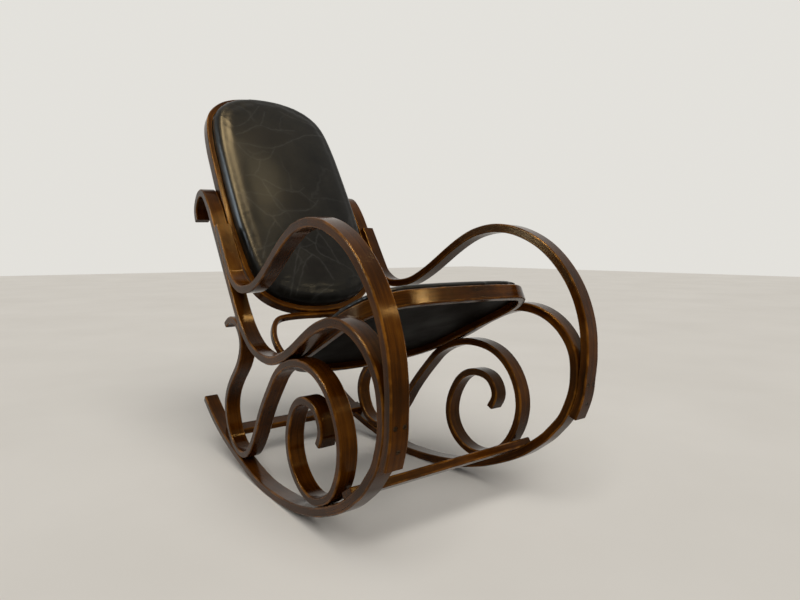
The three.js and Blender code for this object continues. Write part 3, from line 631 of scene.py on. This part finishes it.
def walnut_material():
    """Stained wood under glossy lacquer, its grain along the strip, and lighter at the edges:
    partly wear, partly a painted highlight.
    """
    s = Shader("walnut_lacquer", Specular_IOR_Level=0.12, Specular_Tint=(1.0, 0.58, 0.15, 1),
               Coat_Weight=0.03, Coat_IOR=1.45)
    grain = s.attribute("grain").outputs["Vector"]
    object_place = s.place()
    sway = s.noise(s.scaled(grain, (7, 25, 25)), 1, detail=2)
    swayed = s.set(s.node("ShaderNodeVectorMath", operation="MULTIPLY_ADD"),
                   i0=s.set(s.node("ShaderNodeCombineXYZ"), X=0.0, Y=sway, Z=sway).outputs[0],
                   i1=(0, mm(6), mm(6)), i2=grain).outputs[0]
    broad = s.noise(s.scaled(swayed, (5, 170, 170)), 1, detail=4, roughness=0.6)
    fine = s.noise(s.scaled(swayed, (16, 620, 620)), 1, detail=3, roughness=0.65)
    pores = s.noise(s.scaled(swayed, (55, 1500, 1500)), 1, detail=2)
    stain = s.noise(object_place, 9, detail=3, roughness=0.6)
    tone = s.math("MULTIPLY_ADD", broad, 0.34, s.math("MULTIPLY", fine, 0.16))
    tone = s.math("MULTIPLY_ADD", stain, 0.5, tone)
    colour = s.ramp(tone, (
        (0.36, (0.0095, 0.0022, 0.0002)),
        (0.48, (0.0270, 0.0068, 0.0004)),
        (0.58, (0.0550, 0.0155, 0.0008)),
        (0.72, (0.1080, 0.0380, 0.0024)),
    ))
    dark_pores = s.between(pores, 0.60, 0.70)
    colour = s.mix(s.math("MULTIPLY", dark_pores, 0.4), colour, (0.0090, 0.0026, 0.0008))
    half = s.node("ShaderNodeSeparateXYZ")
    s.set(half, Vector=s.attribute("half_size").outputs["Vector"])
    spot = s.node("ShaderNodeSeparateXYZ")
    s.set(spot, Vector=grain)
    gaps = [s.math("SUBTRACT", half.outputs[k], s.math("ABSOLUTE", spot.outputs[k]))
            for k in (1, 2)]
    to_edge = s.math("ADD", gaps[0], gaps[1])
    # Lighter orange colour along the edges, in ragged patches: partly wear, partly a painted
    # highlight along the edges
    rough_edge = s.math("MULTIPLY_ADD", s.noise(object_place, 160, detail=4), mm(3.2), to_edge)
    edge_wear_and_highlight = s.between(rough_edge, mm(4.0), mm(6.2), 1.0, 0.0)
    patchy = s.between(s.noise(object_place, 21, detail=3), 0.42, 0.66)
    edge_wear_and_highlight = s.math("MULTIPLY", edge_wear_and_highlight, s.math("MULTIPLY_ADD", patchy, 0.55, 0.15))
    colour = s.mix(edge_wear_and_highlight, colour, (0.19, 0.070, 0.0080))
    smear = s.noise(object_place, 38, detail=4, roughness=0.7)
    coat_rough = s.between(smear, 0.3, 0.75, 0.07, 0.2)
    relief = s.bump(s.math("SUBTRACT", fine, s.math("MULTIPLY", dark_pores, 0.6)), 0.25, mm(0.25))
    ripple = s.bump(s.noise(s.scaled(grain, (9, 40, 40)), 1, detail=2), 0.30, mm(1.2))
    coat = s.bump(s.math("ADD", pores, s.noise(object_place, 420, detail=2)), 0.05, mm(0.2), ripple)
    return s.shows(Base_Color=colour, Roughness=s.between(smear, 0.3, 0.75, 0.10, 0.20),
                   Normal=relief, Coat_Roughness=coat_rough, Coat_Normal=coat)


def panel_material():
    """Dark stained board with a dull finish."""
    s = Shader("dark_board", Specular_IOR_Level=0.02)
    place = s.place()
    grain = s.noise(s.scaled(place, (260, 9, 9)), 1, detail=4, roughness=0.6)
    cloud = s.noise(place, 7, detail=3)
    tone = s.math("MULTIPLY_ADD", grain, 0.6, s.math("MULTIPLY", cloud, 0.4))
    colour = s.ramp(tone, (
        (0.38, (0.0016, 0.0009, 0.0004)),
        (0.56, (0.0034, 0.0019, 0.0009)),
        (0.72, (0.0072, 0.0040, 0.0021)),
    ))
    return s.shows(Base_Color=colour, Roughness=s.between(cloud, 0.3, 0.7, 0.42, 0.6),
                   Normal=s.bump(grain, 0.25, mm(0.2)))


def leather_material():
    """Soft dark leather: pale creases between darker patches, fine pebbling, a satin shine."""
    s = Shader("charcoal_leather", Specular_IOR_Level=0.1, Coat_Weight=0.02, Coat_Roughness=0.2)
    place = s.place()
    bent = s.set(s.node("ShaderNodeVectorMath", operation="MULTIPLY_ADD"),
                 i0=s.set(s.node("ShaderNodeTexNoise"), Vector=place, Scale=9.0,
                          Detail=3.0).outputs["Color"],
                 i1=(0.09, 0.09, 0.09), i2=place).outputs[0]
    cells = s.set(s.node("ShaderNodeTexVoronoi", feature="DISTANCE_TO_EDGE"), Vector=bent,
                  Scale=7.5, Randomness=1.0)
    wild = s.between(cells.outputs["Distance"], 0.008, 0.03, 1.0, 0.0)
    wild = s.math("MULTIPLY", wild, s.between(s.noise(place, 6, detail=2), 0.42, 0.62))
    drawn = s.attribute("crease").outputs["Fac"]
    crease = s.math("MAXIMUM", drawn, s.math("MULTIPLY", wild, s.attribute("loose").outputs["Fac"]))
    breaks = s.between(s.noise(place, 70, detail=4, roughness=0.7), 0.32, 0.62, 0.45, 1.0)
    crease = s.math("MULTIPLY", crease, breaks)
    patch = s.attribute("patch").outputs["Fac"]
    cloud = s.noise(place, 13, detail=5, roughness=0.62)
    fine = s.noise(place, 190, detail=3, roughness=0.6)
    tone = s.math("MULTIPLY_ADD", cloud, 0.75, s.math("MULTIPLY", fine, 0.25))
    colour = s.ramp(tone, (
        (0.35, (0.0036, 0.0032, 0.0026)),
        (0.55, (0.0068, 0.0062, 0.0052)),
        (0.72, (0.0115, 0.0106, 0.0091)),
    ))
    colour = s.mix(s.math("MULTIPLY", patch, 0.75), colour, (0.0034, 0.0027, 0.0023))
    colour = s.mix(s.math("MULTIPLY", crease, 0.6), colour, (0.032, 0.031, 0.028))
    pebbles = s.set(s.node("ShaderNodeTexVoronoi", feature="F1"), Vector=place, Scale=620.0)
    wrinkles = s.noise(s.scaled(place, (60, 150, 150)), 1, detail=5, roughness=0.7, distortion=0.8)
    height = s.math("MULTIPLY_ADD", pebbles.outputs["Distance"], -0.35,
                    s.math("MULTIPLY", wrinkles, 1.2))
    relief = s.bump(height, 0.16, mm(0.5))
    relief = s.bump(crease, -0.35, mm(0.8), relief)
    rough = s.between(cloud, 0.3, 0.7, 0.24, 0.34)
    rough = s.math("MULTIPLY_ADD", fine, 0.10, rough)
    return s.shows(Base_Color=colour, Roughness=rough, Normal=relief, Coat_Normal=relief)


def screw_material():
    """Dulled brass with a brown bloom."""
    s = Shader("old_brass", Metallic=1.0)
    place = s.place()
    bloom = s.noise(place, 500, detail=4, roughness=0.7)
    colour = s.ramp(bloom, (
        (0.35, (0.014, 0.008, 0.005)),
        (0.55, (0.050, 0.030, 0.016)),
        (0.75, (0.150, 0.095, 0.045)),
    ))
    return s.shows(Base_Color=colour, Roughness=s.between(bloom, 0.3, 0.7, 0.5, 0.3),
                   Normal=s.bump(s.noise(place, 1800, detail=2), 0.1, mm(0.1)))


def stage_material():
    s = Shader("pale_floor", Roughness=0.7, Specular_IOR_Level=0.0)
    tint = s.noise(s.place(), 1.3, detail=4)
    colour = s.ramp(tint, ((0.3, (0.68, 0.645, 0.59)), (0.7, (0.72, 0.685, 0.63))))
    return s.shows(Base_Color=colour)


WALNUT = walnut_material()
PANEL = panel_material()
LEATHER = leather_material()
SCREW = screw_material()


def dress(name, material):
    node = nodes[name]
    node.data.materials.clear()
    node.data.materials.append(material)


def make_wood():
    lines = {
        "rocker_strip": (rocker_line(), ROCKER_THICKNESS),
        "arm_strip": (arm_line(), ARM_THICKNESS),
        "scroll_strip": (scroll_line(), SCROLL_THICKNESS),
    }
    for side, sign in (("right", -1), ("left", 1)):
        plane = side_plane(sign)
        for strip, (line, thickness) in lines.items():
            bent_piece(f"{strip}_{side}", plane, line, thickness, STRIP_WIDTH, STRIP_EDGE)
    bent_piece("seat_hoop", raised(SEAT_PLANE, SEAT_BAND_HEIGHT / 2), seat_line(),
               SEAT_BAND_THICKNESS, SEAT_BAND_HEIGHT, HOOP_EDGE, closed=True)
    bent_piece("back_hoop", raised(BACK_PLANE, -BACK_RIM_DEPTH / 2), back_line(),
               BACK_RIM_THICKNESS, BACK_RIM_DEPTH, HOOP_EDGE, closed=True)
    plane, height = ring_plane()
    bent_piece("back_support_ring", plane, ring_line(height), RING_THICKNESS, RING_DEPTH,
               HOOP_EDGE, closed=True)
    for name, seat in (("stretcher_front", "frontStretcher"), ("stretcher_rear", "rearStretcher")):
        bent_piece(name, stretcher_plane(seat), straight_line(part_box(name)[1].x),
                   STRETCHER_THICKNESS, STRETCHER_WIDTH, STRIP_EDGE)


make_wood()
for name in nodes:
    if "screw" in name:
        dress(name, SCREW)
    elif name.endswith("_panel"):
        dress(name, PANEL)

# Pads: the filling is swelled as cloth under a little pressure and takes the cover's place

VOXEL = mm(5)
SWELL_FRAMES = 20
PAD_CLEARANCE = mm(0.5)
PAD_SMOOTHING = 9
HELD_RISE = mm(3)  # the pad is held up to this height over its foot
FOOT_SWELL = mm(0.5)
LIP_SWELL = mm(0.8)
CROWN_RISE = mm(12)  # from this height over the lip the crown swells freely
COVER_RISE = mm(5)  # from this height over the foot the cover has its full thickness
BACK_PAD_FOOT = -mm(15.2)
SEAT_PAD_LIP = mm(4)

# Creases of the back's leather, as shares of the half width and of the length from the foot
CREASES = (
    ((-0.70, 0.785), (-0.62, 0.787), (-0.52, 0.800), (-0.42, 0.825), (-0.32, 0.860),
     (-0.17, 0.915)),
    ((-0.66, 0.745), (-0.55, 0.757), (-0.45, 0.775), (-0.35, 0.795), (-0.25, 0.806), (-0.20, 0.830),
     (-0.15, 0.860), (-0.11, 0.885)),
    ((-0.25, 0.806), (-0.18, 0.800), (-0.10, 0.790), (0.00, 0.792), (0.12, 0.796), (0.28, 0.800)),
    ((-0.72, 0.706), (-0.60, 0.702), (-0.50, 0.699), (-0.42, 0.692), (-0.30, 0.689), (-0.20, 0.690),
     (-0.10, 0.700), (0.00, 0.712), (0.10, 0.730), (0.20, 0.747), (0.30, 0.761), (0.42, 0.781),
     (0.55, 0.791), (0.86, 0.802)),
    ((-0.68, 0.703), (-0.65, 0.680), (-0.60, 0.656), (-0.54, 0.638), (-0.46, 0.627), (-0.38, 0.628),
     (-0.30, 0.635), (-0.24, 0.650), (-0.20, 0.670), (-0.15, 0.688)),
    ((-0.42, 0.627), (-0.45, 0.600), (-0.50, 0.575), (-0.57, 0.554), (-0.68, 0.552)),
    ((-0.57, 0.554), (-0.50, 0.541), (-0.47, 0.520), (-0.43, 0.480), (-0.40, 0.450), (-0.37, 0.420),
     (-0.33, 0.396), (-0.28, 0.392), (-0.15, 0.394), (0.05, 0.398), (0.15, 0.410), (0.22, 0.430),
     (0.30, 0.452)),
    ((-0.46, 0.534), (-0.38, 0.521), (-0.30, 0.502), (-0.20, 0.489), (-0.10, 0.482), (0.00, 0.483),
     (0.06, 0.492), (0.13, 0.508)),
    ((0.04, 0.486), (0.10, 0.465), (0.17, 0.446), (0.24, 0.432)),
    ((-0.84, 0.482), (-0.76, 0.456), (-0.70, 0.435), (-0.62, 0.402), (-0.55, 0.378), (-0.48, 0.368),
     (-0.38, 0.373), (-0.27, 0.391)),
    ((-0.48, 0.368), (-0.45, 0.350), (-0.42, 0.325), (-0.36, 0.300), (-0.30, 0.270),
     (-0.22, 0.245)),
    ((-0.45, 0.350), (-0.51, 0.330), (-0.57, 0.310), (-0.62, 0.280), (-0.68, 0.250),
     (-0.74, 0.200)),
    ((0.12, 0.340), (0.13, 0.300), (0.07, 0.268), (0.04, 0.250), (0.03, 0.226), (0.08, 0.206),
     (0.15, 0.195), (0.25, 0.180), (0.38, 0.160)),
    ((0.13, 0.300), (0.20, 0.265), (0.25, 0.230), (0.28, 0.200), (0.33, 0.165)),
    ((-0.16, 0.310), (-0.09, 0.285), (-0.03, 0.265), (0.04, 0.250)),
    ((-0.22, 0.245), (-0.15, 0.225), (-0.08, 0.210), (-0.02, 0.198), (0.04, 0.185), (0.09, 0.155),
     (0.13, 0.125), (0.17, 0.098)),
    ((-0.20, 0.238), (-0.28, 0.200), (-0.35, 0.155), (-0.40, 0.120), (-0.46, 0.075),
     (-0.48, 0.055)),
    ((-0.06, 0.204), (-0.17, 0.180), (-0.24, 0.150), (-0.30, 0.115), (-0.35, 0.090),
     (-0.41, 0.052)),
    ((0.15, 0.082), (0.03, 0.066), (-0.08, 0.050), (-0.19, 0.034)),
    ((0.10, 0.950), (0.20, 0.930), (0.35, 0.908), (0.52, 0.893)),
    ((0.14, 0.900), (0.30, 0.878), (0.50, 0.862), (0.66, 0.850)),
)
PATCHES = (
    ((-0.67, 0.530), (-0.56, 0.548), (-0.50, 0.536), (-0.45, 0.480), (-0.40, 0.440), (-0.35, 0.396),
     (-0.48, 0.374), (-0.62, 0.408), (-0.70, 0.445)),
    ((-0.60, 0.697), (-0.30, 0.686), (-0.20, 0.684), (-0.22, 0.660), (-0.30, 0.637), (-0.42, 0.629),
     (-0.54, 0.642), (-0.60, 0.665)),
    ((-0.36, 0.512), (-0.20, 0.492), (0.00, 0.485), (0.10, 0.464), (0.22, 0.432), (0.10, 0.404),
     (-0.28, 0.396), (-0.36, 0.430)),
    ((-0.60, 0.750), (-0.35, 0.790), (-0.22, 0.800), (-0.08, 0.785), (0.26, 0.776), (0.05, 0.722),
     (-0.10, 0.704), (-0.30, 0.694), (-0.55, 0.706)),
    ((-0.20, 0.176), (-0.05, 0.194), (0.04, 0.178), (0.13, 0.115), (-0.05, 0.095), (-0.26, 0.120)),
)
CREASE_WIDTH = mm(1.8)
CREASE_WAVER = mm(0.5)
CREASE_RISE = mm(12)
PATCH_FADE = mm(7)
LOOSE_CREASES = 0.5  # strength of the creases that are scattered, not drawn


def remeshed(node_name, name):
    piece = nodes[node_name].copy()
    piece.data = nodes[node_name].data.copy()
    piece.parent = None
    piece.name = name
    for key in list(piece.keys()):
        del piece[key]
    bpy.context.scene.collection.objects.link(piece)
    remesh = piece.modifiers.new("remesh", "REMESH")
    remesh.mode = "VOXEL"
    remesh.voxel_size = VOXEL
    bake(piece)
    return piece


def bake(piece):
    """The piece's modifiers become its mesh."""
    graph = bpy.context.evaluated_depsgraph_get()
    solid = bpy.data.meshes.new_from_object(piece.evaluated_get(graph))
    piece.modifiers.clear()
    piece.data = solid


def places(piece):
    co = np.empty(len(piece.data.vertices) * 3)
    piece.data.vertices.foreach_get("co", co)
    return co.reshape(-1, 3)


def swelled(piece):
    """Where cloth of the piece's shape goes under pressure, held at its foot."""
    cloth = piece.modifiers.new("cloth", "CLOTH")
    cloth.settings.quality = 6
    cloth.settings.mass = 0.3
    cloth.settings.tension_stiffness = 12
    cloth.settings.compression_stiffness = 12
    cloth.settings.shear_stiffness = 6
    cloth.settings.bending_stiffness = 0.4
    cloth.settings.use_pressure = True
    cloth.settings.uniform_pressure_force = 4
    cloth.settings.effector_weights.gravity = 0
    cloth.settings.vertex_group_mass = "held"
    cloth.point_cache.frame_start = 1
    cloth.point_cache.frame_end = SWELL_FRAMES
    scene = bpy.context.scene
    for number in range(1, SWELL_FRAMES + 1):
        scene.frame_set(number)
    graph = bpy.context.evaluated_depsgraph_get()
    puffed = piece.evaluated_get(graph).data
    co = np.empty(len(puffed.vertices) * 3)
    puffed.vertices.foreach_get("co", co)
    piece.modifiers.clear()
    scene.frame_set(1)
    return co.reshape(-1, 3)


def near_lines(spots, lines):
    """Least distance from each spot to any of the lines."""
    least = np.full(len(spots), np.inf)
    for line in lines:
        for start, end in zip(line[:-1], line[1:]):
            run = end - start
            share = np.clip((spots - start) @ run / (run @ run), 0, 1)
            gap = spots - start - share[:, None] * run
            least = np.minimum(least, np.hypot(*gap.T))
    return least


def inside(spots, outline):
    result = np.zeros(len(spots), bool)
    for (x0, y0), (x1, y1) in zip(outline, np.roll(outline, -1, 0)):
        crosses = (y0 > spots[:, 1]) != (y1 > spots[:, 1])
        reach = x0 + (spots[:, 1] - y0) * (x1 - x0) / (y1 - y0 if y1 != y0 else 1)
        result ^= crosses & (spots[:, 0] < reach)
    return result


def creased(piece, plane, half_width, length, flip):
    """Adds the crease and patch attributes, in the plane of the pad."""
    flat = np.array(plane.inverted())
    local = places(piece) @ flat[:3, :3].T + flat[:3, 3]
    spots = local[:, :2]

    def laid(points):
        shares = np.array(points, float)
        if flip:
            shares = np.stack((-shares[:, 0], 1 - shares[:, 1]), 1)
        return shares * (half_width, length)

    waver = np.stack((np.sin(spots[:, 1] * 260) + np.sin(spots[:, 0] * 410 + 2),
                      np.sin(spots[:, 0] * 310) + np.sin(spots[:, 1] * 530 + 1)), 1) * CREASE_WAVER
    gap = near_lines(spots + waver, [laid(line) for line in CREASES])
    crease = np.exp(-((gap / CREASE_WIDTH) ** 2))
    patch = np.zeros(len(spots))
    for outline in PATCHES:
        shape = laid(outline)
        depth = near_lines(spots + waver, [np.vstack((shape, shape[:1]))])
        share = np.clip(depth / PATCH_FADE, 0, 1)
        patch = np.maximum(patch, np.where(inside(spots, shape), share, 0))
    top = np.clip(local[:, 2] / CREASE_RISE, 0, 1)
    for name, values in (("crease", crease * top), ("patch", patch * top),
                         ("loose", np.full(len(spots), LOOSE_CREASES))):
        made = piece.data.attributes.new(name, "FLOAT", "POINT")
        made.data.foreach_set("value", values.astype(np.float32))


def vertex_normals(piece):
    normals = np.empty(len(piece.data.vertices) * 3)
    piece.data.vertices.foreach_get("normal", normals)
    return normals.reshape(-1, 3)


def clear_of_rim(piece, plane, line, half_thickness, lip):
    """Keeps the pad off the inner wall of its rim, as high as the rim stands."""
    flat, world = np.array(plane.inverted()), np.array(plane)
    co = places(piece)
    local = co @ flat[:3, :3].T + flat[:3, 3]
    low = np.flatnonzero(local[:, 2] < lip + mm(1))
    rim = Bend(line, closed=True)
    run, left = rim.unroll(local[low, :2])
    tight = left < half_thickness + PAD_CLEARANCE
    p, q, _ = rim.roll(run[tight], np.full(tight.sum(), half_thickness + PAD_CLEARANCE))
    local[low[tight], 0] = p
    local[low[tight], 1] = q
    piece.data.vertices.foreach_set("co", (local @ world[:3, :3].T + world[:3, 3]).ravel())
    piece.data.update()


def make_pad(part, plane, foot, lip, cap, cover):
    """One pad: foot is the height of its underside over the plane, lip where the rim ends, cap
    the most that the simulation swells its crown, and cover the thickness that it grows by."""
    piece = remeshed(f"{part}_filling", f"{part}_pad")
    start = places(piece)
    outward = vertex_normals(piece)
    flat = np.array(plane.inverted())
    height = (start @ flat[:3, :3].T + flat[:3, 3])[:, 2]
    held = piece.vertex_groups.new(name="held")
    held.add([int(i) for i in np.flatnonzero(height < foot + HELD_RISE)], 1.0, "REPLACE")
    moved = swelled(piece)
    shift = moved - start
    shift -= np.minimum((shift * outward).sum(1), 0)[:, None] * outward
    far = np.linalg.norm(shift, axis=1)
    most = np.interp(height, (foot, lip, lip + CROWN_RISE), (FOOT_SWELL, LIP_SWELL, cap))
    shift *= np.minimum(1, most / np.maximum(far, 1e-9))[:, None]
    shift += outward * np.interp(height, (foot, foot + COVER_RISE), (0, cover))[:, None]
    piece.data.vertices.foreach_set("co", (start + shift).ravel())
    piece.vertex_groups.clear()
    smooth = piece.modifiers.new("smooth", "SMOOTH")
    smooth.factor = 0.5
    smooth.iterations = PAD_SMOOTHING
    finer = piece.modifiers.new("finer", "SUBSURF")
    finer.levels = finer.render_levels = 1
    bake(piece)
    piece.data.polygons.foreach_set("use_smooth", np.ones(len(piece.data.polygons), bool))
    piece.data.materials.clear()
    piece.data.materials.append(LEATHER)
    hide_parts(f"{part}_cover", f"{part}_filling")
    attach(piece, "root")
    return piece


back_pad = make_pad("back", BACK_PLANE, BACK_PAD_FOOT, lip=0, cap=mm(4),
                    cover=mm(5))
clear_of_rim(back_pad, BACK_PLANE, back_line(), BACK_RIM_THICKNESS / 2, 0)
creased(back_pad, BACK_PLANE, BACK_HALF_WIDTH, BACK_LENGTH, flip=False)
seat_pad = make_pad("seat", SEAT_PLANE, SEAT_BAND_HEIGHT, lip=SEAT_BAND_HEIGHT + SEAT_PAD_LIP,
                    cap=mm(5), cover=mm(2))
creased(seat_pad, raised(SEAT_PLANE, SEAT_BAND_HEIGHT), seat_side(0.5)[0], SEAT_LENGTH, flip=True)

# Stage and light

FLOOR_REACH = 14.0
WALL_COLOUR = (0.77, 0.755, 0.715, 1)
FILL_COLOUR = (0.93, 0.96, 1.0, 1)
FILL_STRENGTH = 0.12

# Each lamp's place, its target, its size in metres, its watts and its colour
LAMPS = {
    "window": ((-2.8, 1.3, 1.6), (0, 0, 0.5), (1.0, 1.5), 120, (0.78, 0.90, 1.0)),
    "warm": ((-0.9, -0.42, 2.8), (0, 0.1, 0.7), (0.8, 1.8), 190, (1.0, 0.74, 0.38)),
    "ceiling": ((0.65, -0.63, 2.8), (0, 0, 0.5), (0.2, 0.2), 7.5, (1.0, 0.80, 0.44)),
    "front": ((1.3, -2.2, 2.0), (0, 0, 0.5), (0.22, 0.22), 10, (1.0, 0.84, 0.52)),
}


def make_floor():
    mesh = bpy.data.meshes.new("floor")
    reach = FLOOR_REACH
    corners = [(-reach, -reach, 0), (reach, -reach, 0), (reach, reach, 0), (-reach, reach, 0)]
    mesh.from_pydata(corners, [], [(0, 1, 2, 3)])
    floor = bpy.data.objects.new("floor", mesh)
    bpy.context.scene.collection.objects.link(floor)
    floor.data.materials.append(stage_material())


def make_world():
    """A pale wall for the camera and in the gloss, and a faint fill light for the rest."""
    world = bpy.data.worlds.new("room")
    bpy.context.scene.world = world
    world.use_nodes = True
    tree = world.node_tree
    tree.nodes.clear()
    out = tree.nodes.new("ShaderNodeOutputWorld")
    seen = tree.nodes.new("ShaderNodeBackground")
    seen.inputs["Color"].default_value = WALL_COLOUR
    seen.inputs["Strength"].default_value = 1.0
    lit = tree.nodes.new("ShaderNodeBackground")
    lit.inputs["Color"].default_value = FILL_COLOUR
    lit.inputs["Strength"].default_value = FILL_STRENGTH
    path = tree.nodes.new("ShaderNodeLightPath")
    pick = tree.nodes.new("ShaderNodeMixShader")
    shown = path.outputs["Is Camera Ray"]
    for kind in ("Is Glossy Ray", "Is Transmission Ray"):
        either = tree.nodes.new("ShaderNodeMath")
        either.operation = "MAXIMUM"
        tree.links.new(shown, either.inputs[0])
        tree.links.new(path.outputs[kind], either.inputs[1])
        shown = either.outputs[0]
    tree.links.new(shown, pick.inputs[0])
    tree.links.new(lit.outputs[0], pick.inputs[1])
    tree.links.new(seen.outputs[0], pick.inputs[2])
    tree.links.new(pick.outputs[0], out.inputs["Surface"])


def lamp(name, place, target, size, power, colour):
    """A lamp that shines in the gloss only."""
    data = bpy.data.lights.new(name, "AREA")
    data.shape = "RECTANGLE"
    data.size, data.size_y = size
    data.energy = power
    data.color = colour
    made = bpy.data.objects.new(name, data)
    aim = Vector(target) - Vector(place)
    made.location = place
    made.visible_diffuse = False
    made.rotation_euler = aim.to_track_quat("-Z", "Y").to_euler()
    bpy.context.scene.collection.objects.link(made)


def daylight(source, strength, spread, colour):
    """Even light over the whole floor, from a direction, softened over an angle in degrees."""
    data = bpy.data.lights.new("daylight", "SUN")
    data.energy = strength
    data.angle = math.radians(spread)
    data.color = colour
    made = bpy.data.objects.new("daylight", data)
    made.rotation_euler = (-Vector(source)).to_track_quat("-Z", "Y").to_euler()
    made.visible_glossy = False
    bpy.context.scene.collection.objects.link(made)


make_floor()
make_world()
for name, settings in LAMPS.items():
    lamp(name, *settings)
daylight(source=(-0.35, -0.75, 1.0), strength=3.1, spread=60, colour=(1.0, 0.99, 0.97))
